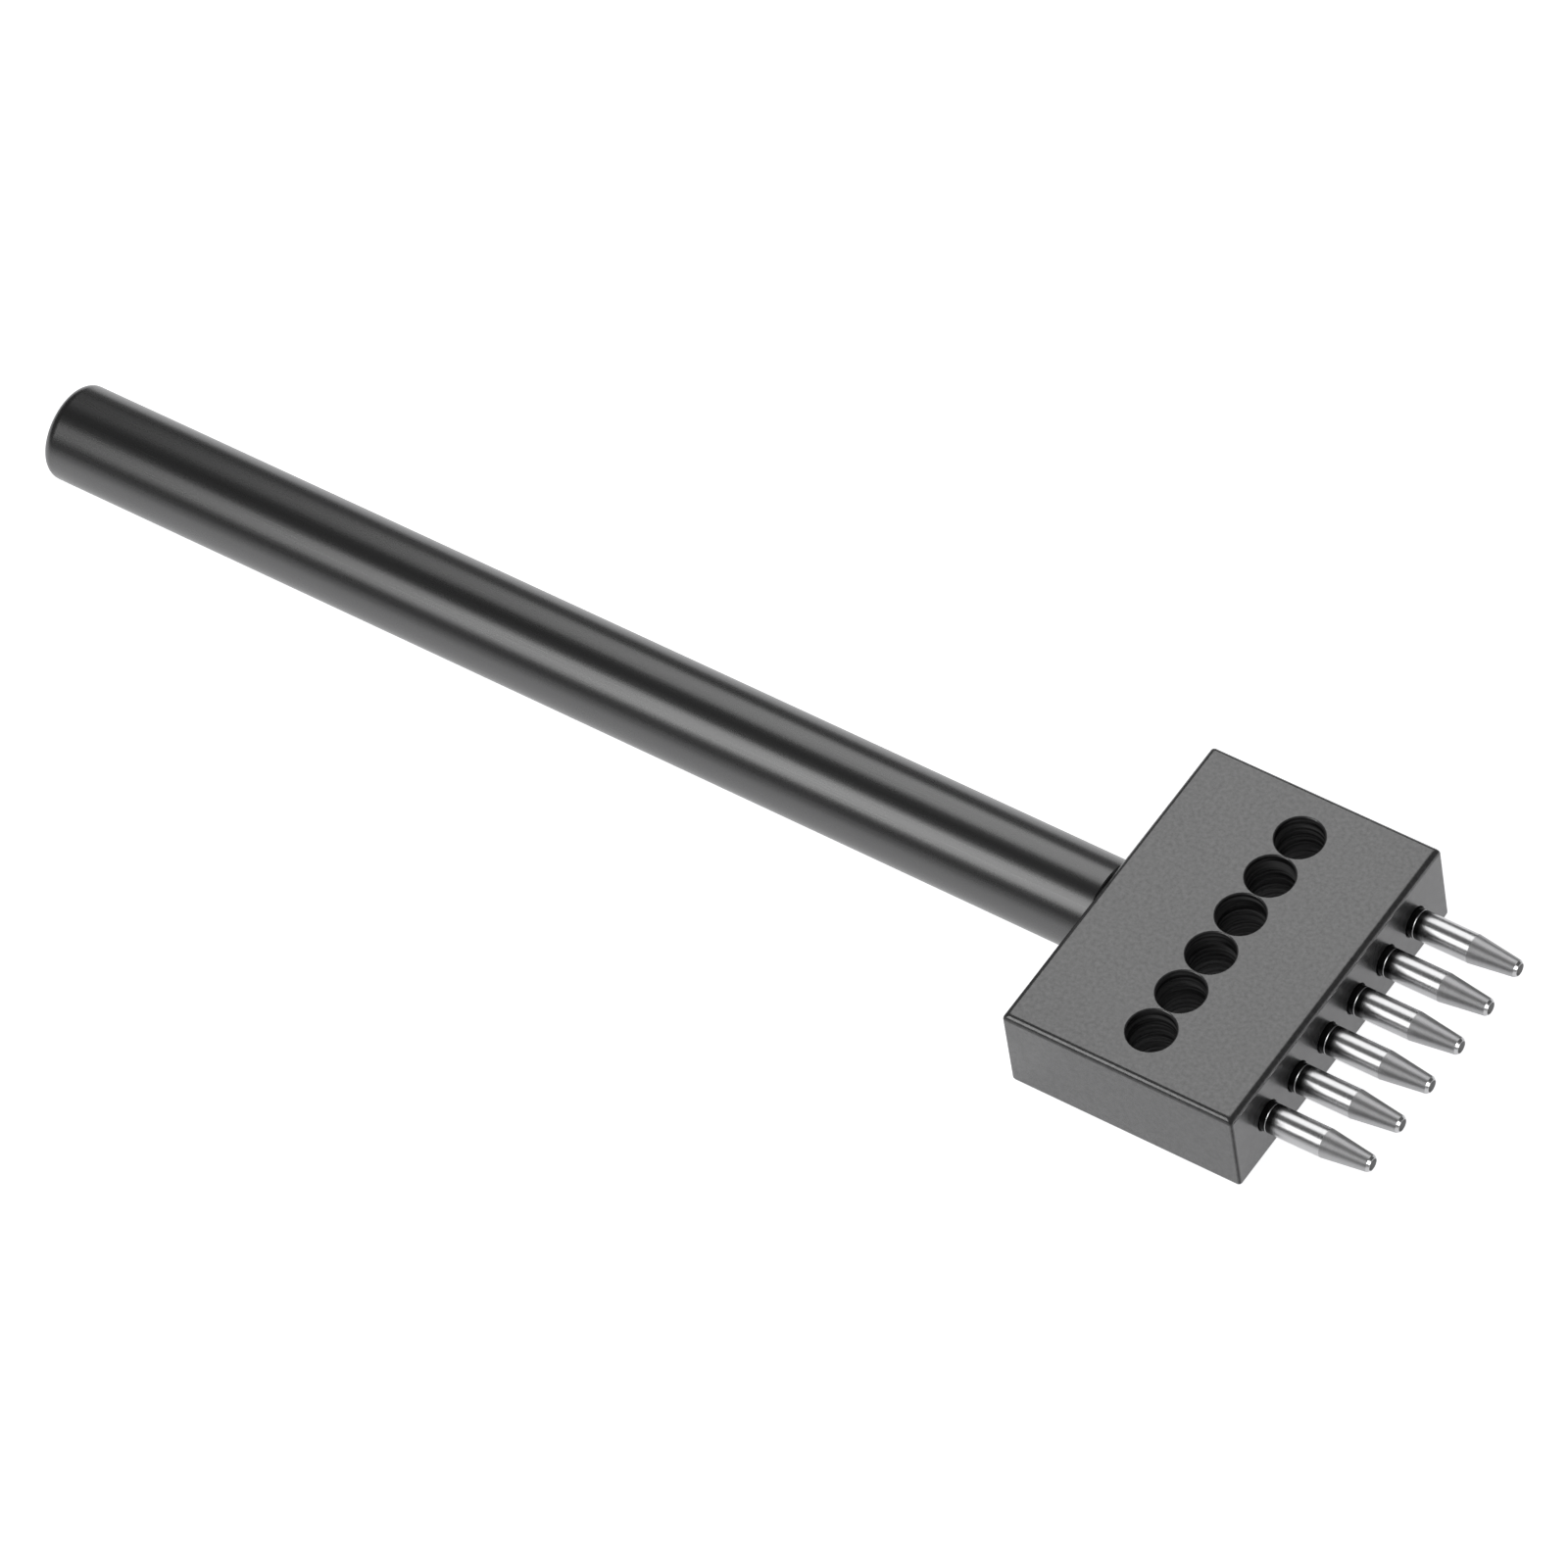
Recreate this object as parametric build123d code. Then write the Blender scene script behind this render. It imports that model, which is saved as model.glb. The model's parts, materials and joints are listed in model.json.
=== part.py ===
from build123d import *
import os

# Six-prong round-hole leather iron with screw-in punch tubes, lying flat. Millimetres.
# +X runs along the tool, from the struck end of the handle to the cutting tips.
# +Z points up, out of the head face that carries the waste ports.
# The origin is the centre of the tool's footprint, on the plane that it rests on.

# Row of prongs
PRONG_COUNT = 6
PRONG_PITCH = 5.0

# Head
HEAD_LENGTH = 24.9
HEAD_WIDTH = 35.5
HEAD_THICKNESS = 10.0
HEAD_RIM_RADIUS = 0.65
HEAD_CORNER_RADIUS = 0.35

# Waste ports, drilled through the head from face to face
PORT_DIAMETER = 4.7
PORT_FROM_BACK = 12.9
PORT_RIM_CHAMFER = 0.18

# Handle
HANDLE_DIAMETER = 9.7
HANDLE_LENGTH = 119.2
HANDLE_END_RADIUS = 1.2
HANDLE_ROOT_CHAMFER = 0.15
TENON_DIAMETER = 6.0
TENON_LENGTH = 8.5
TENON_SOCKET_DEPTH = 9.0
TENON_END_CHAMFER = 0.5

# Punch tubes: a threaded shank, a straight barrel, a ground cone and a short cutting bevel
TUBE_DIAMETER = 2.9
TUBE_REACH = 11.3
TUBE_STRAIGHT = 6.4
TUBE_SHANK = 9.0
TUBE_BORE = 1.2
TIP_DIAMETER = 1.74
TIP_BEVEL_LENGTH = 0.25
TIP_EDGE_WALL = 0.08
RELIEF_BORE = 1.6
RELIEF_FROM_TIP = 6.0
SHANK_END_CHAMFER = 0.2

# Fits
THREAD_CLEARANCE = 0.05
TENON_CLEARANCE = 0.03
SOCKET_MOUTH_CHAMFER = 0.1

# Places along the tool
TOTAL_LENGTH = HANDLE_LENGTH + HEAD_LENGTH + TUBE_REACH
TIP_X = TOTAL_LENGTH / 2
PRONG_FACE_X = TIP_X - TUBE_REACH
HEAD_BACK_X = PRONG_FACE_X - HEAD_LENGTH
HANDLE_END_X = HEAD_BACK_X - HANDLE_LENGTH
PORT_X = HEAD_BACK_X + PORT_FROM_BACK
AXIS_Z = HEAD_THICKNESS / 2


def rod(start_x, end_x, radius, y=0.0):
    """A plain round bar along X at the tool's mid thickness."""
    length = end_x - start_x
    return Pos((start_x + end_x) / 2, y, AXIS_Z) * Rot(0, 90, 0) * Cylinder(radius, length)


def countersink(mouth_x, bore_radius, size, y=0.0):
    """A cone that breaks the mouth of a hole that opens towards +X."""
    cone = Cone(bore_radius, bore_radius + size, size)
    return Pos(mouth_x - size / 2, y, AXIS_Z) * Rot(0, 90, 0) * cone


def prong_ys():
    """The prongs' places across the head, from the +Y side to the -Y side."""
    first = (PRONG_COUNT - 1) / 2 * PRONG_PITCH
    return [first - i * PRONG_PITCH for i in range(PRONG_COUNT)]


def waste_port(y):
    """A hole through the head along Z, with both rims broken by a small chamfer."""
    radius = PORT_DIAMETER / 2
    chamfer_height = PORT_RIM_CHAMFER
    hole = Pos(PORT_X, y, AXIS_Z) * Cylinder(radius, HEAD_THICKNESS)
    top_rim = Cone(radius, radius + PORT_RIM_CHAMFER, chamfer_height)
    bottom_rim = Cone(radius + PORT_RIM_CHAMFER, radius, chamfer_height)
    hole += Pos(PORT_X, y, HEAD_THICKNESS - chamfer_height / 2) * top_rim
    hole += Pos(PORT_X, y, chamfer_height / 2) * bottom_rim
    return hole


def tube_socket(y):
    """A screw hole from the prong face into the waste port behind it."""
    radius = TUBE_DIAMETER / 2 + THREAD_CLEARANCE
    hole = rod(PORT_X, PRONG_FACE_X, radius, y)
    return hole + countersink(PRONG_FACE_X, radius, SOCKET_MOUTH_CHAMFER, y)


def tenon_socket():
    """A blind hole in the middle of the head's back face."""
    radius = TENON_DIAMETER / 2 + TENON_CLEARANCE
    return rod(HEAD_BACK_X, HEAD_BACK_X + TENON_SOCKET_DEPTH, radius)


def rounded_block():
    """The head's plain block, with crisp upright corners and softer top and bottom rims."""
    block = Box(HEAD_LENGTH, HEAD_WIDTH, HEAD_THICKNESS)
    block = fillet(block.edges().filter_by(Axis.Z), HEAD_CORNER_RADIUS)
    by_height = block.edges().group_by(Axis.Z)
    block = fillet(by_height[0] + by_height[-1], HEAD_RIM_RADIUS)
    return Pos(HEAD_BACK_X + HEAD_LENGTH / 2, 0, AXIS_Z) * block


def build_head():
    """The block that holds the handle and the row of tubes."""
    head = rounded_block()
    for y in prong_ys():
        head -= waste_port(y)
        head -= tube_socket(y)
    return head - tenon_socket()


def build_handle():
    """The round bar that is held and struck, with the tenon that enters the head."""
    bar = rod(HANDLE_END_X, HEAD_BACK_X, HANDLE_DIAMETER / 2)
    ends = bar.edges().filter_by(GeomType.CIRCLE).sort_by(Axis.X)
    bar = fillet(ends[0], HANDLE_END_RADIUS)
    ends = bar.edges().filter_by(GeomType.CIRCLE).sort_by(Axis.X)
    bar = chamfer(ends[-1], HANDLE_ROOT_CHAMFER)
    tenon = rod(HEAD_BACK_X, HEAD_BACK_X + TENON_LENGTH, TENON_DIAMETER / 2)
    ends = tenon.edges().filter_by(GeomType.CIRCLE).sort_by(Axis.X)
    tenon = chamfer(ends[-1], TENON_END_CHAMFER)
    return bar + tenon


def build_tube(y):
    """One hollow punch tube, turned about its own axis."""
    outer = TUBE_DIAMETER / 2
    bore = TUBE_BORE / 2
    relief = RELIEF_BORE / 2
    rear_x = PRONG_FACE_X - TUBE_SHANK
    bevel_x = TIP_X - TIP_BEVEL_LENGTH
    relief_x = TIP_X - RELIEF_FROM_TIP
    step = relief - bore
    outline = [
        (rear_x, relief),
        (rear_x, outer - SHANK_END_CHAMFER),
        (rear_x + SHANK_END_CHAMFER, outer),
        (PRONG_FACE_X + TUBE_STRAIGHT, outer),
        (bevel_x, TIP_DIAMETER / 2),
        (TIP_X, bore + TIP_EDGE_WALL),
        (TIP_X, bore),
        (relief_x + step, bore),
        (relief_x, relief),
    ]
    profile = make_face(Polyline(outline, close=True))
    return Pos(0, y, AXIS_Z) * revolve(profile, Axis.X, 360)


os.makedirs("parts", exist_ok=True)
export_step(build_handle(), "parts/handle.step")
export_step(build_head(), "parts/head.step")
for number, place in enumerate(prong_ys(), start=1):
    export_step(build_tube(place), f"parts/punch_tube_{number}.step")
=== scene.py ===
import json
import math

import bmesh
import bpy
import numpy as np
from mathutils import Matrix, Quaternion, Vector


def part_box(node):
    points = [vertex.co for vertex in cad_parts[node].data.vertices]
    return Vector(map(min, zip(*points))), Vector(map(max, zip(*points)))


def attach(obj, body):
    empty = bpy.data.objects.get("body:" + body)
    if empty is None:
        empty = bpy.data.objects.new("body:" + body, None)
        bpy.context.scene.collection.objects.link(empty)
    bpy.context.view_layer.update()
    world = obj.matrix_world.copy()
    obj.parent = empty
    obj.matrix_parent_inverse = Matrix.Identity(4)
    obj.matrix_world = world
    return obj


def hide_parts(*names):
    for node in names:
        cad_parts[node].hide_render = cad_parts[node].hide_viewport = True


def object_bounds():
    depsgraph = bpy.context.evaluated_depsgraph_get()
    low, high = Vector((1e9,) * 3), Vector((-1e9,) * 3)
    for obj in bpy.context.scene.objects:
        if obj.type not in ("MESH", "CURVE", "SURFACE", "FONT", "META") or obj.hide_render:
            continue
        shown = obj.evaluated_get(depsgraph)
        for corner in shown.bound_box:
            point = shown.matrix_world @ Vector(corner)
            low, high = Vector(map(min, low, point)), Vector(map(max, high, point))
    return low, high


# Looks of a six-prong round-hole leather iron with screw-in punch tubes.
# Metres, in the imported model's own frame: +X runs towards the cutting tips, +Z points up.

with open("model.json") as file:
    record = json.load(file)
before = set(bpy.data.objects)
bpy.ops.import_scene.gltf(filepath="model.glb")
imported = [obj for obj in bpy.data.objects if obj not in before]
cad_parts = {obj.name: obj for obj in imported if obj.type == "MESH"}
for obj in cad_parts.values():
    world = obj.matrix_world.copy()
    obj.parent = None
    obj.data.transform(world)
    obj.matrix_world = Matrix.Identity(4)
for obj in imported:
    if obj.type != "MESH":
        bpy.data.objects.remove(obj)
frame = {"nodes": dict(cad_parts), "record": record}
cad_low, cad_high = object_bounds()

MM = 0.001
TAU = 2 * math.pi

# ---------------------------------------------------------------- places, from the frame

TUBES = sorted(node for node in frame["nodes"] if node.startswith("punch_tube_"))
BODIES = frame["record"]["behaviour"]["bodies"]
BODY_OF = {node: body for body, nodes in BODIES.items() for node in nodes}

head_low, head_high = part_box("head")
handle_low, handle_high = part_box("handle")
tube_low, tube_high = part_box(TUBES[0])

AXIS_Z = (head_low.z + head_high.z) / 2
HEAD_BACK_X, PRONG_FACE_X = head_low.x, head_high.x
HANDLE_END_X, TENON_END_X = handle_low.x, handle_high.x
HANDLE_RADIUS = (handle_high.y - handle_low.y) / 2
TUBE_RADIUS = (tube_high.y - tube_low.y) / 2
TUBE_REAR_X, TIP_X = tube_low.x, tube_high.x
PRONG_YS = [(low.y + high.y) / 2 for low, high in map(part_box, TUBES)]

# ---------------------------------------------------------------- sizes of the details

HEAD_RIM_RADIUS = 0.65 * MM
HEAD_CORNER_RADIUS = 0.35 * MM
PORT_X = HEAD_BACK_X + 12.9 * MM
PORT_RADIUS = 2.35 * MM
PORT_RIM = 0.18 * MM
DRILL_PITCH = 0.60 * MM
DRILL_DEPTH = 0.036 * MM
DRILL_PHASE_STEP = 0.37
SOCKET_GAP = 0.05 * MM
SOCKET_RADIUS = TUBE_RADIUS + SOCKET_GAP
SOCKET_MOUTH = 0.1 * MM
TENON_RADIUS = 3.0 * MM
TENON_CHAMFER = 0.5 * MM
TENON_GAP = 0.03 * MM
TENON_SOCKET_DEPTH = 9.0 * MM

HANDLE_END_ROUND = 1.2 * MM
HANDLE_ROOT_CHAMFER = 0.15 * MM

SHANK_CHAMFER = 0.2 * MM
THREAD_PITCH = 0.5 * MM
THREAD_DEPTH = 0.26 * MM
THREAD_RUN_IN = 0.6 * THREAD_PITCH
# Painted shade on the tubes: where the dark band round each tube fades in and out, from the prong
# face.
PAINTED_SHADE_SHANK_START, PAINTED_SHADE_SHANK_END = -1.0 * MM, -0.4 * MM
PAINTED_SHADE_BARREL_START, PAINTED_SHADE_BARREL_END = 1.15 * MM, 1.75 * MM
GROOVE_FROM_FACE = 0.65 * MM
GROOVE_HALF_WIDTH = 0.05 * MM
GROOVE_DEPTH = 0.04 * MM
TUBE_STRAIGHT = 6.4 * MM
TIP_RADIUS = 0.87 * MM
TIP_BEVEL = 0.25 * MM
TIP_EDGE_WALL = 0.08 * MM
TUBE_BORE_RADIUS = 0.6 * MM
RELIEF_RADIUS = 0.8 * MM
RELIEF_FROM_TIP = 6.0 * MM

CONE_START_X = PRONG_FACE_X + TUBE_STRAIGHT
BEVEL_X = TIP_X - TIP_BEVEL
GROOVE_X = PRONG_FACE_X + GROOVE_FROM_FACE
GROOVE_BACK_X = GROOVE_X - GROOVE_HALF_WIDTH
GROOVE_FRONT_X = GROOVE_X + GROOVE_HALF_WIDTH

# ---------------------------------------------------------------- fineness of the meshes

HANDLE_SEGMENTS, HANDLE_ROUND_STEPS = 160, 16
HEAD_RIM_STEPS, HEAD_CORNER_STEPS = 12, 6
PORT_SEGMENTS, PORT_WALL_STEPS, PORT_RIM_STEPS = 72, 110, 6
HOLE_SEGMENTS = 64
TUBE_SEGMENTS, CONE_STEPS, STEPS_PER_PITCH = 64, 12, 12

HANDLE_EDGE_BAND = 0.05 * MM
TUBE_EDGE_BAND = 0.02 * MM
CUTTER_OVERSHOOT = 0.3 * MM
SAME_PLACE = 0.001 * MM

# A face up to this share beyond a radius or a rim still counts as on it.
SLACK = 1.01

# Edges that bend by more than these degrees are drawn crisp.
HANDLE_CRISP, HEAD_CRISP, TUBE_CRISP = 35, 40, 30

# ---------------------------------------------------------------- stage, light and camera sizes

FLOOR_REACH, FLOOR_SQUARES = 3.0, 12
FLOOR_DROP = 0.02 * MM
FLOOR_GLOW, FLOOR_DIM_GLOW, FLOOR_SEEN_GLOW = 1.0, 0.3, 1.15
FLOOR_BRIGHT_Y, FLOOR_DIM_Y = -0.022, -0.040

WORLD_HORIZON, WORLD_TOP = 0.16, 0.12
WORLD_LOW, WORLD_HIGH = 0.05, 0.7

SIDE_LAMP_DISTANCE = 0.45
# Each side lamp: its name, its degrees round the tool's axis from +Y over the top to -Y, where
# it starts and ends along X, how many degrees wide it looks from the tool, and its radiance.
SIDE_LAMPS = (
    ("near_softbox", 136, -0.278, -0.08, 36, 3.3),
    ("near_front_softbox", 136, -0.08, 0.03, 36, 0.9),
    ("far_softbox", 54, -0.25, -0.06, 43, 2.0),
    ("far_front_softbox", 54, -0.06, 0.06, 43, 1.4),
)
TIP_LAMP_PLACE = Vector((0.53, -0.21, 0.345))
TIP_LAMP_SIDE = 0.30
TIP_RADIANCE = 9.0

CAMERA_TARGET = Vector((HEAD_BACK_X - 34.9 * MM, -2.4 * MM, AXIS_Z))
CAMERA_DISTANCE = 1.1839
CAMERA_AZIMUTH, CAMERA_ELEVATION, CAMERA_ROLL = 42.43, 51.66, -10.71
CAMERA_LENS, CAMERA_SENSOR = 293.5, 36.0
CAMERA_NEAR, CAMERA_FAR = 0.1, 20.0


# ---------------------------------------------------------------- mesh helpers


def arc(centre, radius, start, end, steps):
    """(along, out) points of an arc in a turning profile. Angles in degrees."""
    angles = [math.radians(start + (end - start) * i / steps) for i in range(steps + 1)]
    return [(centre[0] + radius * math.cos(a), centre[1] + radius * math.sin(a)) for a in angles]


def turned(profile, segments, closed, surface=None):
    """Vertices and faces of a shape turned about X. Profile points are (x, radius).

    A closed profile makes a ring; an open one has both ends on the axis. surface(x, radius, angle)
    may change the radius of each point."""
    angles = np.arange(segments) * TAU / segments
    rows, vertices = [], []
    for x, radius in profile:
        if radius == 0:
            rows.append([len(vertices)] * segments)
            vertices.append((x, 0.0, 0.0))
            continue
        radii = np.full(segments, radius) if surface is None else surface(x, radius, angles)
        rows.append(list(range(len(vertices), len(vertices) + segments)))
        vertices += list(zip([x] * segments, radii * np.cos(angles), radii * np.sin(angles)))
    faces = []
    pairs = list(zip(rows, rows[1:] + rows[:1])) if closed else list(zip(rows, rows[1:]))
    for near, far in pairs:
        for i in range(segments):
            j = (i + 1) % segments
            corners = [near[i], near[j], far[j], far[i]]
            faces.append(list(dict.fromkeys(corners)))
    return vertices, faces


def mesh_from(name, vertices, faces):
    """A mesh with its faces turned outwards."""
    mesh = bpy.data.meshes.new(name)
    mesh.from_pydata([tuple(map(float, v)) for v in vertices], [], faces)
    shape = bmesh.new()
    shape.from_mesh(mesh)
    bmesh.ops.recalc_face_normals(shape, faces=shape.faces)
    shape.to_mesh(mesh)
    shape.free()
    return mesh


def placed(mesh, matrix):
    """The mesh moved by a matrix."""
    mesh.transform(matrix)
    return mesh


def shade(mesh, sharp_degrees):
    """Smooth shading, except across edges that bend by more than the angle."""
    mesh.shade_smooth()
    mesh.set_sharp_from_angle(angle=math.radians(sharp_degrees))


def sharpen_rings(mesh, places):
    """Makes the rings of edges at these places along X crisp."""
    for edge in mesh.edges:
        ends = [mesh.vertices[i].co.x for i in edge.vertices]
        if any(max(abs(x - place) for x in ends) < SAME_PLACE for place in places):
            edge.use_edge_sharp = True


def new_object(name, data):
    """A mesh, lamp or camera put in the scene under a name."""
    made = bpy.data.objects.new(name, data)
    bpy.context.scene.collection.objects.link(made)
    return made


def add_slots(mesh, count):
    """Empty material slots for the faces' material numbers."""
    for _ in range(count):
        mesh.materials.append(None)


def finish_piece(piece, node, materials):
    """Gives a piece its materials and the body it rides on, and hides the CAD part it stands for.
    The material slots are filled in place, because clearing them would reset every face to the
    first."""
    slots = piece.data.materials
    add_slots(piece.data, len(materials) - len(slots))
    for number, material in enumerate(materials):
        slots[number] = material
    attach(piece, BODY_OF[node])
    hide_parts(node)
    return piece


# ---------------------------------------------------------------- materials


class Nodes:
    """A short way to write a material's node tree."""

    def __init__(self, name):
        self.material = bpy.data.materials.new(name)
        self.material.use_nodes = True
        self.tree = self.material.node_tree
        self.shader = self.tree.nodes["Principled BSDF"]
        self.place = self.node("ShaderNodeTexCoord").outputs["Object"]

    def node(self, kind, **settings):
        """A new node with its settings."""
        made = self.tree.nodes.new(kind)
        for key, value in settings.items():
            setattr(made, key, value)
        return made

    def put(self, socket, value):
        """Links another node's output to a socket, or sets the socket to a value."""
        if isinstance(value, bpy.types.NodeSocket):
            self.tree.links.new(value, socket)
        else:
            socket.default_value = value

    def maths(self, operation, *values):
        """One step of arithmetic on values or outputs."""
        made = self.node("ShaderNodeMath", operation=operation)
        for socket, value in zip(made.inputs, values):
            self.put(socket, value)
        return made.outputs[0]

    def stretched(self, scale):
        """The place in the object, scaled by (x, y, z)."""
        made = self.node("ShaderNodeMapping")
        self.put(made.inputs["Vector"], self.place)
        made.inputs["Scale"].default_value = scale
        return made.outputs[0]

    def noise(self, scale, detail=3.0, roughness=0.55, place=None):
        """Noise from 0 to 1; scale is how many blotches fit in a metre."""
        made = self.node("ShaderNodeTexNoise")
        self.put(made.inputs["Vector"], place or self.place)
        made.inputs["Scale"].default_value = scale
        made.inputs["Detail"].default_value = detail
        made.inputs["Roughness"].default_value = roughness
        return made.outputs["Fac"]

    def spread(self, value, low, high, from_low=0.0, from_high=1.0):
        """The value's range turned into low to high, clamped at both ends."""
        made = self.node("ShaderNodeMapRange")
        for key, number in (("Value", value), ("From Min", from_low), ("From Max", from_high)):
            self.put(made.inputs[key], number)
        self.put(made.inputs["To Min"], low)
        self.put(made.inputs["To Max"], high)
        return made.outputs[0]

    def mix(self, share, first, second):
        """Two colours mixed; a share of 1 gives the second."""
        made = self.node("ShaderNodeMix", data_type="RGBA")
        self.put(made.inputs["Factor"], share)
        for key, value in (("A", first), ("B", second)):
            socket = [s for s in made.inputs if s.name == key and s.type == "RGBA"][0]
            self.put(socket, value)
        return [s for s in made.outputs if s.type == "RGBA"][0]

    def bump(self, height, distance, under=None):
        """A normal that shows the height as relief, over another one if given."""
        made = self.node("ShaderNodeBump")
        self.put(made.inputs["Height"], height)
        made.inputs["Distance"].default_value = distance
        if under is not None:
            self.put(made.inputs["Normal"], under)
        return made.outputs[0]

    def upright_corners(self):
        """1 along the middle of the block's upright rounded corners and 0 on its flat sides."""
        split = self.node("ShaderNodeSeparateXYZ")
        self.put(split.inputs[0], self.node("ShaderNodeTexCoord").outputs["Normal"])
        both_ways = self.maths("MULTIPLY", split.outputs["X"], split.outputs["Y"])
        turned_half_way = self.maths("ABSOLUTE", self.maths("MULTIPLY", both_ways, 2.0))
        return self.maths("POWER", turned_half_way, 3.0)

    def shader_inputs(self, **values):
        """Fills the shader's inputs and hands over the finished material."""
        for key, value in values.items():
            self.put(self.shader.inputs[key.replace("_", " ")], value)
        return self.material


def grey(level):
    """A grey with a breath of blue."""
    return (level, level, level * 1.01, 1.0)


def coating():
    """Satin black coating of the head: fine grain, small mottles and faint cloudiness, and a
    painted shade that turns its reflection down along the upright corners.
    """
    look = Nodes("satin_black_coating")
    grain = look.noise(7000, detail=4, roughness=0.7)
    mottles = look.noise(2400, detail=2)
    clouds = look.noise(160, detail=3)
    speckle = look.maths("MULTIPLY_ADD", mottles, 0.7, look.maths("MULTIPLY", grain, 0.3))
    colour = look.mix(look.spread(speckle, 0, 1, 0.35, 0.65), grey(0.036), grey(0.058))
    rough = look.maths("ADD", look.spread(grain, 0.20, 0.28), look.spread(clouds, -0.02, 0.02))
    normal = look.bump(grain, 0.004 * MM)
    thin_film = look.spread(speckle, 0.44, 0.56, 0.35, 0.65)
    # Painted shade: along the upright corners the reflection drops to 15%, drawing a dark line
    # there.
    gloss_with_painted_corner_shade = look.maths("MULTIPLY", thin_film, look.spread(look.upright_corners(), 1.0, 0.15))
    return look.shader_inputs(
        Base_Color=colour, Roughness=rough, Normal=normal, IOR=1.81, Specular_IOR_Level=gloss_with_painted_corner_shade
    )


def handle_finish():
    """Smoother black of the handle, with faint drawn lines along it."""
    look = Nodes("smooth_black_finish")
    lines = look.noise(1.0, detail=3, place=look.stretched((60, 5000, 5000)))
    grain = look.noise(6000, detail=3)
    colour = look.mix(lines, grey(0.003), grey(0.005))
    rough = look.maths("ADD", look.spread(lines, 0.25, 0.31), look.spread(grain, -0.02, 0.02))
    normal = look.bump(grain, 0.0008 * MM, look.bump(lines, 0.0008 * MM))
    return look.shader_inputs(Base_Color=colour, Roughness=rough, Normal=normal, IOR=1.95)


def port_wall():
    """Dull dark wall of a waste port, with the uneven rings that the drill left round it."""
    look = Nodes("drilled_port_wall")
    rings = look.noise(1.0, detail=2.5, place=look.stretched((130, 130, 1900)))
    colour = look.mix(look.spread(rings, 0, 1, 0.42, 0.62), grey(0.010), grey(0.130))
    rough = look.spread(rings, 0.40, 0.60)
    return look.shader_inputs(
        Base_Color=colour,
        Roughness=rough,
        Normal=look.bump(rings, 0.02 * MM),
        IOR=1.3,
        Specular_IOR_Level=0.2,
    )


def polished_steel():
    """Bright steel of a tube's shank and barrel, with hair-fine turning lines and a painted shade:
    a dark band where the tube leaves the prong face. The band's fading ends are measured from the
    face."""
    look = Nodes("polished_tube_steel")
    lines = look.noise(1.0, detail=2, place=look.stretched((14000, 400, 400)))
    rough = look.spread(lines, 0.23, 0.29)
    normal = look.bump(lines, 0.0001 * MM)
    split = look.node("ShaderNodeSeparateXYZ")
    look.put(split.inputs[0], look.place)
    along = look.maths("SUBTRACT", split.outputs["X"], PRONG_FACE_X)
    # Painted shade: the steel's colour turns dark from just inside the socket to past the groove,
    # drawing a dark reflection there.
    unshaded_shank = look.spread(along, 1, 0, PAINTED_SHADE_SHANK_START, PAINTED_SHADE_SHANK_END)
    unshaded_barrel = look.spread(along, 0, 1, PAINTED_SHADE_BARREL_START, PAINTED_SHADE_BARREL_END)
    unshaded = look.maths("ADD", unshaded_shank, unshaded_barrel)
    colour = look.mix(unshaded, grey(0.045), look.mix(lines, grey(0.46), grey(0.52)))
    return look.shader_inputs(Base_Color=colour, Metallic=1.0, Roughness=rough, Normal=normal)


def ground_steel():
    """Duller steel of the ground cone and of the groove."""
    look = Nodes("ground_cone_steel")
    lines = look.noise(1.0, detail=3, place=look.stretched((9000, 500, 500)))
    rough = look.spread(lines, 0.34, 0.42)
    normal = look.bump(lines, 0.0004 * MM)
    colour = look.mix(lines, grey(0.34), grey(0.42))
    return look.shader_inputs(Base_Color=colour, Metallic=1.0, Roughness=rough, Normal=normal)


def bore_steel():
    """Dull unpolished steel inside a tube."""
    look = Nodes("dull_bore_steel")
    swirl = look.noise(1.0, detail=2, place=look.stretched((5000, 900, 900)))
    colour = look.mix(swirl, grey(0.22), grey(0.30))
    normal = look.bump(swirl, 0.003 * MM)
    return look.shader_inputs(Base_Color=colour, Metallic=0.1, Roughness=0.55, Normal=normal)


def floor_paint():
    """White sheet over a light table: it glows by itself, so shadows stay faint. Its glow dims
    away from the tool on the near side, except where the camera sees the sheet directly."""
    look = Nodes("pale_floor")
    clouds = look.noise(30, detail=2)
    colour = look.mix(clouds, grey(0.78), grey(0.80))
    split = look.node("ShaderNodeSeparateXYZ")
    look.put(split.inputs[0], look.place)
    lit = look.spread(split.outputs["Y"], FLOOR_DIM_GLOW, FLOOR_GLOW, FLOOR_DIM_Y, FLOOR_BRIGHT_Y)
    seen_directly = look.node("ShaderNodeLightPath").outputs["Is Camera Ray"]
    lift = look.maths("MULTIPLY", seen_directly, look.maths("SUBTRACT", FLOOR_SEEN_GLOW, lit))
    glow = look.maths("ADD", lit, lift)
    return look.shader_inputs(
        Base_Color=colour, Roughness=0.7, Emission_Color=colour, Emission_Strength=glow
    )


# ---------------------------------------------------------------- handle


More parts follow.
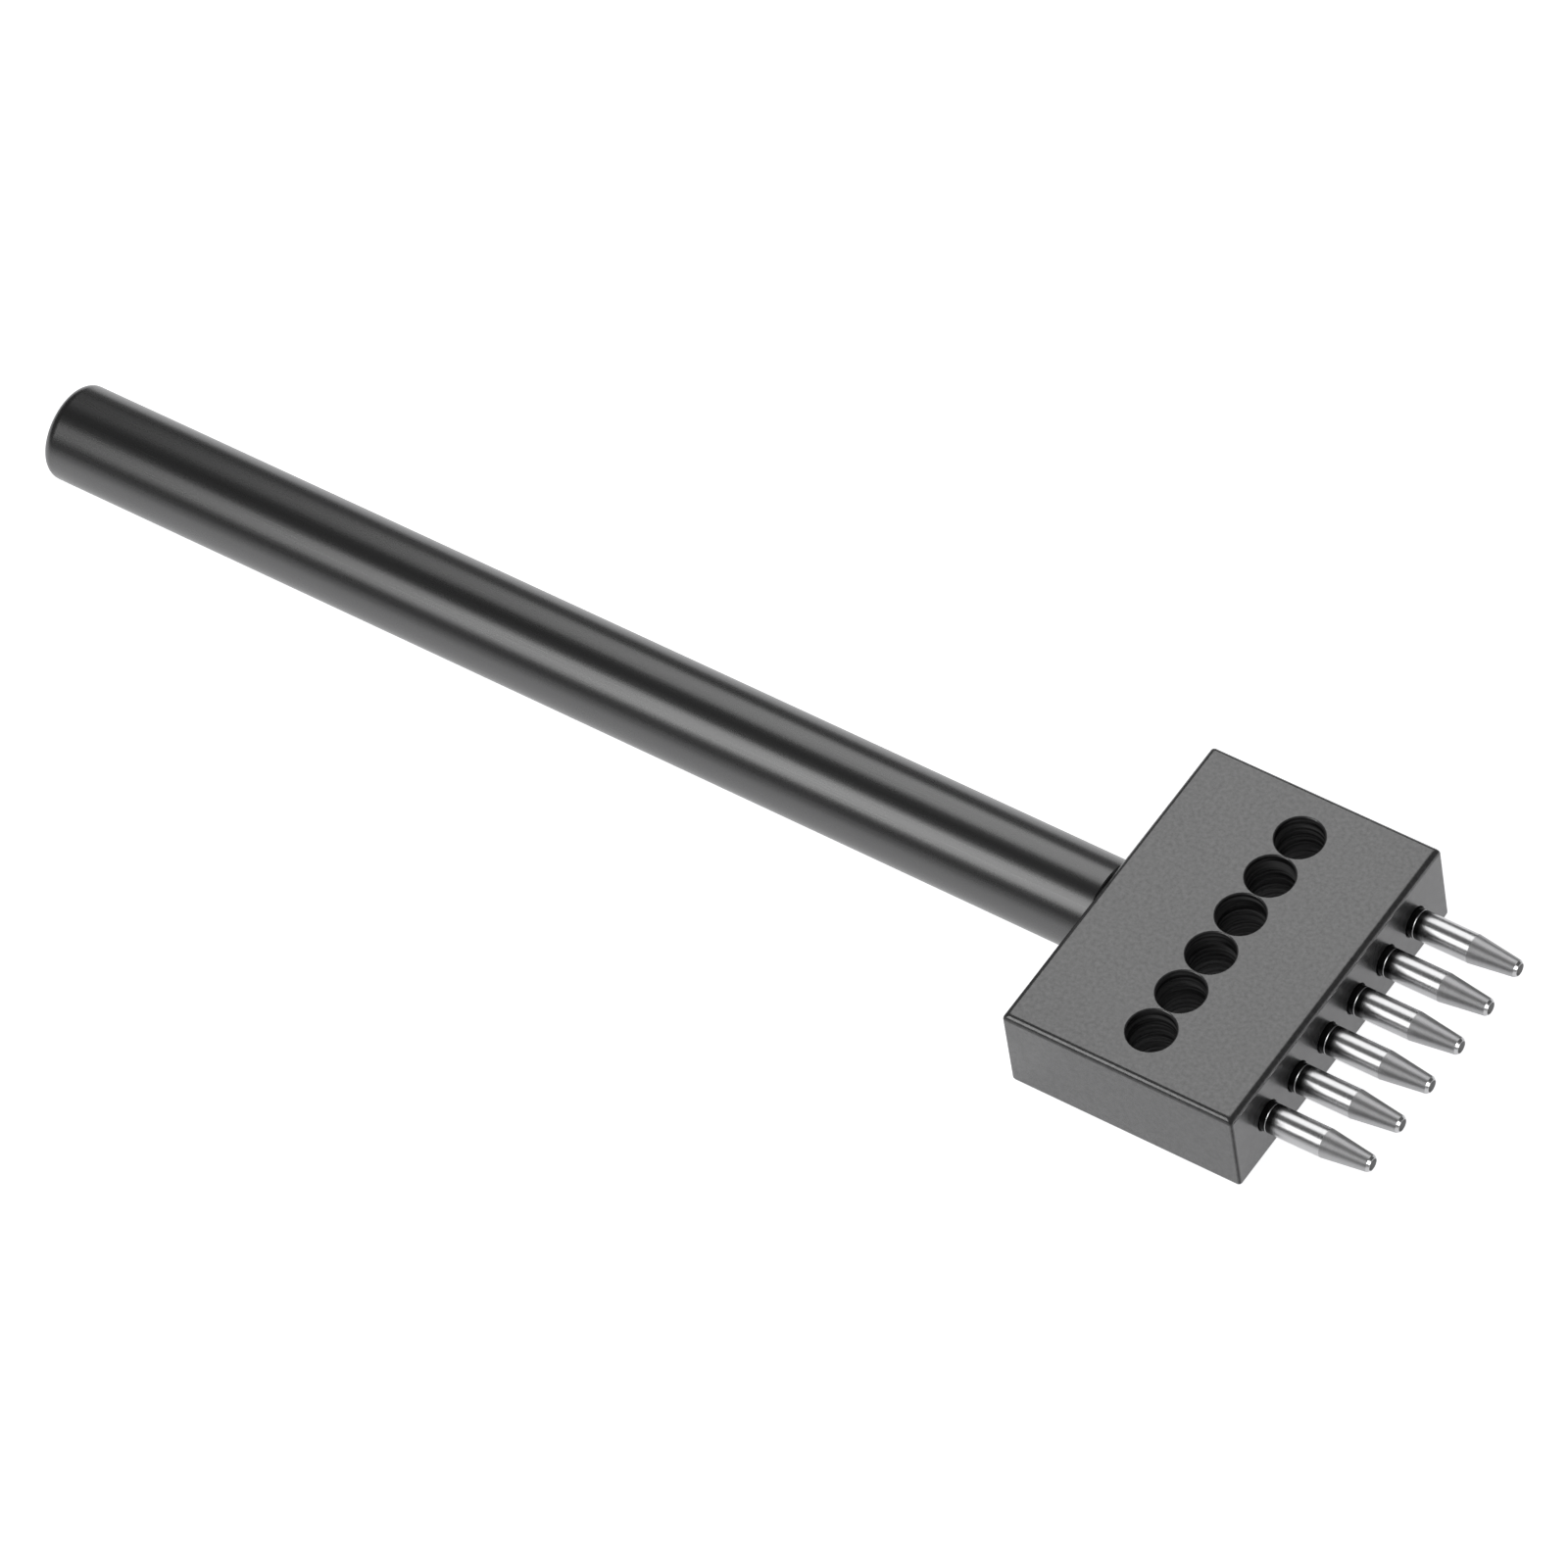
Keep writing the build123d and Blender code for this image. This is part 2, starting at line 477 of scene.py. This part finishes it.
def handle_profile():
    """(x, radius) from the struck end's middle to the tenon's. A narrow band beside each round
    or chamfer keeps its shading off the straight stretch."""
    radius, end_round, chamfer = HANDLE_RADIUS, HANDLE_END_ROUND, HANDLE_ROOT_CHAMFER
    band = HANDLE_EDGE_BAND
    end_centre = (HANDLE_END_X + end_round, radius - end_round)
    profile = [(HANDLE_END_X, 0), (HANDLE_END_X, radius - end_round - band)]
    profile += arc(end_centre, end_round, 180, 90, HANDLE_ROUND_STEPS)
    profile += [(HANDLE_END_X + end_round + band, radius)]
    profile += [(HEAD_BACK_X - chamfer - band, radius), (HEAD_BACK_X - chamfer, radius)]
    profile += [(HEAD_BACK_X, radius - chamfer), (HEAD_BACK_X, TENON_RADIUS)]
    profile += [(TENON_END_X - TENON_CHAMFER, TENON_RADIUS)]
    profile += [(TENON_END_X, TENON_RADIUS - TENON_CHAMFER), (TENON_END_X, 0)]
    return profile


def build_handle(materials):
    """The struck bar with its rounded end, and the tenon inside the head."""
    mesh = mesh_from("handle_bar", *turned(handle_profile(), HANDLE_SEGMENTS, closed=False))
    shade(placed(mesh, Matrix.Translation((0, 0, AXIS_Z))), HANDLE_CRISP)
    return finish_piece(new_object("handle_bar", mesh), "handle", materials)


# ---------------------------------------------------------------- head


HEAD_MATERIALS = 4
BLOCK_FACE, PORT_WALL, SOCKET_WALL, PORT_LIP = range(HEAD_MATERIALS)


def block_ring(height, inset):
    """A level loop round the block: a rectangle with rounded corners, set in from its sides."""
    middle = (head_low + head_high) / 2
    reach = (head_high - head_low) / 2
    radius = HEAD_CORNER_RADIUS
    ring = []
    for quarter, (side_x, side_y) in enumerate(((1, 1), (-1, 1), (-1, -1), (1, -1))):
        centre_x = middle.x + side_x * (reach.x - inset - radius)
        centre_y = middle.y + side_y * (reach.y - inset - radius)
        start = 90 * quarter
        corner = arc((centre_x, centre_y), radius, start, start + 90, HEAD_CORNER_STEPS)
        ring += [(x, y, height) for x, y in corner]
    return ring


def rounded_block():
    """The head's block, with crisp upright corners and softer top and bottom rims."""
    radius = HEAD_RIM_RADIUS
    lower = arc((head_low.z + radius, -radius), radius, 180, 90, HEAD_RIM_STEPS)
    upper = arc((head_high.z - radius, -radius), radius, 90, 0, HEAD_RIM_STEPS)
    rings = [block_ring(height, -out) for height, out in lower + upper]
    count = len(rings[0])
    vertices = [point for ring in rings for point in ring]
    faces = [list(range(count)), list(range(len(vertices) - count, len(vertices)))]
    for start in range(0, len(vertices) - count, count):
        for i in range(count):
            j = (i + 1) % count
            faces.append([start + i, start + j, start + count + j, start + count + i])
    return mesh_from("head_block", vertices, faces)


def drill_marks(phase):
    """A port wall's radius: one shallow spiral scallop per turn of the drill, uneven in depth.
    The waves of wander and unevenness are in radians per metre along the port."""
    wander_waves, wander_turns = 1100, 0.25
    uneven_waves, uneven_swing = 2900, 2.3
    crest_sharpness = 0.7

    def surface(x, radius, angles):
        wander = wander_turns * np.sin(x * wander_waves + angles + 7 * phase)
        turn = x / DRILL_PITCH + angles / TAU + phase + wander
        scallop = np.abs(np.sin(math.pi * turn)) ** crest_sharpness
        swing = uneven_swing * np.sin(angles + 5 * phase)
        uneven = 0.5 + 0.5 * np.sin(x * uneven_waves + swing + 9 * phase)
        return radius - DRILL_DEPTH * (1 - scallop) * uneven

    return surface


def port_cutter(y, number):
    """A spiral-marked drill with flared ends, standing along Z."""
    rim, radius, out = PORT_RIM, PORT_RADIUS, CUTTER_OVERSHOOT
    top = head_high.z - head_low.z
    span = top - 2 * rim
    marks = drill_marks(DRILL_PHASE_STEP * number)
    lower = arc((rim, radius + rim), rim, 180, 270, PORT_RIM_STEPS)
    upper = arc((top - rim, radius + rim), rim, 270, 360, PORT_RIM_STEPS)
    wall = [(rim + span * i / PORT_WALL_STEPS, radius) for i in range(1, PORT_WALL_STEPS)]
    profile = [(-out, 0), (-out, radius + rim)] + lower + wall + upper
    profile += [(top + out, radius + rim), (top + out, 0)]

    def surface(x, local_radius, angles):
        on_wall = local_radius == radius and rim < x < top - rim
        return marks(x, radius, angles) if on_wall else np.full(len(angles), local_radius)

    outline = turned(profile, PORT_SEGMENTS, closed=False, surface=surface)
    mesh = mesh_from("port_cutter", *outline)
    margin = SLACK * rim
    for face in mesh.polygons:
        on_wall = margin < face.center.x < top - margin
        face.material_index = PORT_WALL if on_wall else PORT_LIP
    stand = Matrix.Rotation(-math.pi / 2, 4, "Y")
    return placed(mesh, Matrix.Translation((PORT_X, y, head_low.z)) @ stand)


def hole_cutter(name, profile, y):
    """A plain round cutter along X whose faces become socket walls."""
    mesh = mesh_from(name, *turned(profile, HOLE_SEGMENTS, closed=False))
    for face in mesh.polygons:
        face.material_index = SOCKET_WALL
    return placed(mesh, Matrix.Translation((0, y, AXIS_Z)))


def socket_cutter(y):
    """A round hole from the prong face into a port, with a broken mouth."""
    mouth = SOCKET_RADIUS + SOCKET_MOUTH
    end = PRONG_FACE_X + CUTTER_OVERSHOOT
    profile = [(PORT_X, 0), (PORT_X, SOCKET_RADIUS)]
    profile += [(PRONG_FACE_X - SOCKET_MOUTH, SOCKET_RADIUS), (PRONG_FACE_X, mouth)]
    profile += [(end, mouth), (end, 0)]
    return hole_cutter("socket_cutter", profile, y)


def tenon_cutter():
    """The blind hole for the handle's tenon."""
    radius = TENON_RADIUS + TENON_GAP
    start, end = HEAD_BACK_X - CUTTER_OVERSHOOT, HEAD_BACK_X + TENON_SOCKET_DEPTH
    profile = [(start, 0), (start, radius), (end, radius), (end, 0)]
    return hole_cutter("tenon_cutter", profile, 0)


def cut(body, cutters):
    """Cuts each cutter out of the body; the new faces keep the cutter's material numbers."""
    for mesh in cutters:
        add_slots(mesh, HEAD_MATERIALS)
        tool = new_object("cutter", mesh)
        step = body.modifiers.new("cut", "BOOLEAN")
        step.operation = "DIFFERENCE"
        step.solver = "MANIFOLD"
        step.object = tool
        graph = bpy.context.evaluated_depsgraph_get()
        result = bpy.data.meshes.new_from_object(body.evaluated_get(graph))
        body.modifiers.clear()
        body.data = result
        bpy.data.objects.remove(tool)


def block_normal(point):
    """The outward normal of the rounded block at a point on it."""
    reach = (head_high - head_low) / 2
    place = point - (head_low + head_high) / 2
    rise = max(abs(place.z) - (reach.z - HEAD_RIM_RADIUS), 0) / HEAD_RIM_RADIUS
    level = math.sqrt(max(1 - rise * rise, 0))
    inset = HEAD_RIM_RADIUS * (1 - level) + HEAD_CORNER_RADIUS
    out_x = abs(place.x) - (reach.x - inset)
    out_y = abs(place.y) - (reach.y - inset)
    if out_x > 0 and out_y > 0:
        flat = Vector((out_x, out_y)).normalized()
    else:
        flat = Vector((1, 0)) if out_x > out_y else Vector((0, 1))
    normal = Vector((flat.x * level, flat.y * level, (flat.x + flat.y) * rise)).normalized()
    return Vector([math.copysign(n, p) for n, p in zip(normal, place)])


def build_head(materials):
    """The block with its ports and holes. Its materials are for the block's own faces, the port
    walls, the socket walls and the port lips."""
    block = rounded_block()
    add_slots(block, HEAD_MATERIALS)
    head = new_object("head_block", block)
    cut(head, [port_cutter(y, i) for i, y in enumerate(PRONG_YS)])
    cut(head, [socket_cutter(y) for y in PRONG_YS] + [tenon_cutter()])
    mesh = head.data
    shade(mesh, HEAD_CRISP)
    normals = [Vector(corner.vector) for corner in mesh.corner_normals]
    for face in mesh.polygons:
        if face.material_index == BLOCK_FACE:
            for corner in face.loop_indices:
                place = mesh.vertices[mesh.loops[corner].vertex_index].co
                normals[corner] = block_normal(place)
    mesh.normals_split_custom_set(normals)
    return finish_piece(head, "head", materials)


# ---------------------------------------------------------------- punch tubes


BARREL, CONE, BORE = range(3)


def thread(x, radius, angles):
    """The shank's radius: a triangular screw thread that runs out at the prong face."""
    start, end = TUBE_REAR_X, PRONG_FACE_X
    if radius < TUBE_RADIUS or not start < x < end:
        return np.full(len(angles), radius)
    crest_height, flank_slope = 1.25, 2.9
    turn = ((x - start) / THREAD_PITCH - angles / TAU) % 1.0
    ridge = np.clip(crest_height - np.abs(turn - 0.5) * flank_slope, 0, 1)
    fade = min(1.0, (end - x) / THREAD_PITCH, (x - start) / THREAD_RUN_IN)
    return radius - THREAD_DEPTH * (1 - ridge) * fade


def shank_profile():
    """(x, radius) over the outside of the shank, in steps fine enough for the thread."""
    start = TUBE_REAR_X + SHANK_CHAMFER
    length = PRONG_FACE_X - start
    rings = int(length / (THREAD_PITCH / STEPS_PER_PITCH))
    return [(start + length * i / rings, TUBE_RADIUS) for i in range(rings + 1)]


def cone_profile():
    """(x, radius) over the ground cone, from the barrel's end to the bevel."""
    length, narrowing = BEVEL_X - CONE_START_X, TIP_RADIUS - TUBE_RADIUS
    shares = [i / CONE_STEPS for i in range(CONE_STEPS + 1)]
    return [(CONE_START_X + length * share, TUBE_RADIUS + narrowing * share) for share in shares]


def tube_profile():
    """(x, radius) around a tube's wall, from the rear end over the outside and back in the bore."""
    profile = [(TUBE_REAR_X, RELIEF_RADIUS), (TUBE_REAR_X, TUBE_RADIUS - SHANK_CHAMFER)]
    profile += shank_profile()
    profile += [(PRONG_FACE_X + TUBE_EDGE_BAND, TUBE_RADIUS), (GROOVE_BACK_X, TUBE_RADIUS)]
    profile += [(GROOVE_X, TUBE_RADIUS - GROOVE_DEPTH), (GROOVE_FRONT_X, TUBE_RADIUS)]
    profile += cone_profile()
    profile += [(TIP_X, TUBE_BORE_RADIUS + TIP_EDGE_WALL), (TIP_X, TUBE_BORE_RADIUS)]
    relief = TIP_X - RELIEF_FROM_TIP
    profile += [(relief + RELIEF_RADIUS - TUBE_BORE_RADIUS, TUBE_BORE_RADIUS)]
    profile += [(relief, RELIEF_RADIUS)]
    return profile


def tube_part(x, radius):
    """Which material a face of a tube takes, from where its middle is."""
    at_mouth = radius < TUBE_BORE_RADIUS
    inside = radius < RELIEF_RADIUS * SLACK and x < BEVEL_X
    if at_mouth or inside:
        return BORE
    on_cone = CONE_START_X < x < BEVEL_X
    in_groove = GROOVE_BACK_X < x < GROOVE_FRONT_X
    return CONE if on_cone or in_groove else BARREL


def build_tube(node, y, materials):
    """One hollow punch tube. Its materials are for the shank and barrel, the cone and the
    groove, and the bore."""
    name = node + "_steel"
    outline = turned(tube_profile(), TUBE_SEGMENTS, closed=True, surface=thread)
    mesh = placed(mesh_from(name, *outline), Matrix.Translation((0, y, AXIS_Z)))
    shade(mesh, TUBE_CRISP)
    sharpen_rings(mesh, (CONE_START_X, BEVEL_X, TIP_X, GROOVE_BACK_X, GROOVE_FRONT_X))
    for face in mesh.polygons:
        radius = math.hypot(face.center.y - y, face.center.z - AXIS_Z)
        face.material_index = tube_part(face.center.x, radius)
    return finish_piece(new_object(name, mesh), node, materials)


# ---------------------------------------------------------------- stage, light and camera


def build_floor():
    """A wide pale floor under the tool."""
    shape = bmesh.new()
    squares = FLOOR_SQUARES
    bmesh.ops.create_grid(shape, x_segments=squares, y_segments=squares, size=FLOOR_REACH)
    mesh = bpy.data.meshes.new("floor")
    shape.to_mesh(mesh)
    shape.free()
    mesh.transform(Matrix.Translation((0, 0, cad_low.z - FLOOR_DROP)))
    mesh.materials.append(floor_paint())
    new_object("floor", mesh)


def softbox(name, centre, target, along, across, radiance):
    """A rectangular lamp at a place, turned to face the target, its long side nearest to X."""
    lamp = bpy.data.lights.new(name, "AREA")
    lamp.shape = "RECTANGLE"
    lamp.size, lamp.size_y = along, across
    lamp.energy = radiance * math.pi * along * across
    z_axis = (centre - target).normalized()
    x_axis = (Vector((1, 0, 0)) - z_axis * z_axis.x).normalized()
    axes = Matrix((x_axis, z_axis.cross(x_axis), z_axis)).transposed().to_4x4()
    made = new_object(name, lamp)
    made.matrix_world = Matrix.Translation(centre) @ axes
    return made


def side_softbox(name, degrees, low_x, high_x, spread, radiance):
    """A lamp beside the tool, between two places along X. Its height is given in degrees round
    the tool's axis, from +Y over the top to -Y, and so is how wide it looks from there."""
    angle = math.radians(degrees)
    away = Vector((0, math.cos(angle), math.sin(angle)))
    target = Vector(((low_x + high_x) / 2, 0, AXIS_Z))
    across = 2 * SIDE_LAMP_DISTANCE * math.tan(math.radians(spread) / 2)
    centre = target + away * SIDE_LAMP_DISTANCE
    softbox(name, centre, target, high_x - low_x, across, radiance)


def build_world():
    """A dim room, a little brighter near the horizon than overhead."""
    world = bpy.data.worlds.new("studio")
    world.use_nodes = True
    tree = world.node_tree
    place = tree.nodes.new("ShaderNodeTexCoord")
    split = tree.nodes.new("ShaderNodeSeparateXYZ")
    tree.links.new(place.outputs["Generated"], split.inputs[0])
    spread = tree.nodes.new("ShaderNodeMapRange")
    spread.interpolation_type = "SMOOTHSTEP"
    tree.links.new(split.outputs["Z"], spread.inputs["Value"])
    spread.inputs["From Min"].default_value = WORLD_LOW
    spread.inputs["From Max"].default_value = WORLD_HIGH
    spread.inputs["To Min"].default_value = WORLD_HORIZON
    spread.inputs["To Max"].default_value = WORLD_TOP
    backdrop = tree.nodes["Background"]
    backdrop.inputs["Color"].default_value = grey(1.0)
    tree.links.new(spread.outputs[0], backdrop.inputs["Strength"])
    bpy.context.scene.world = world


def light_only(lamp, pieces):
    """Lets a lamp light these pieces and nothing else."""
    lit = bpy.data.collections.new(lamp.name + "_subjects")
    for piece in pieces:
        lit.objects.link(piece)
    lamp.light_linking.receiver_collection = lit


def build_lights(tubes):
    """Long side lamps for the stripes on the round parts, and a small one for the tubes' tips."""
    for lamp in SIDE_LAMPS:
        side_softbox(*lamp)
    tips = Vector((TIP_X, 0, AXIS_Z))
    side = TIP_LAMP_SIDE
    light_only(softbox("tip_softbox", TIP_LAMP_PLACE, tips, side, side, TIP_RADIANCE), tubes)
    build_world()


def build_camera():
    """A long lens over the tool's near corner, a little rolled."""
    azimuth, elevation = math.radians(CAMERA_AZIMUTH), math.radians(CAMERA_ELEVATION)
    level_x, level_y = math.sin(azimuth), -math.cos(azimuth)
    flat = math.cos(elevation)
    back = Vector((level_x * flat, level_y * flat, math.sin(elevation)))
    lens = bpy.data.cameras.new("camera")
    lens.sensor_width = CAMERA_SENSOR
    lens.lens = CAMERA_LENS
    lens.clip_start, lens.clip_end = CAMERA_NEAR, CAMERA_FAR
    camera = new_object("camera", lens)
    camera.rotation_mode = "QUATERNION"
    camera.location = CAMERA_TARGET + back * CAMERA_DISTANCE
    upright = (-back).to_track_quat("-Z", "Y")
    camera.rotation_quaternion = upright @ Quaternion((0, 0, 1), math.radians(CAMERA_ROLL))
    bpy.context.scene.camera = camera


build_handle([handle_finish()])
head_coat, dull_wall = coating(), port_wall()
build_head([head_coat, dull_wall, dull_wall, head_coat])
steels = [polished_steel(), ground_steel(), bore_steel()]
tubes = [build_tube(node, prong_y, steels) for node, prong_y in zip(TUBES, PRONG_YS)]
build_floor()
build_lights(tubes)
build_camera()
bpy.context.scene.view_settings.view_transform = "Standard"
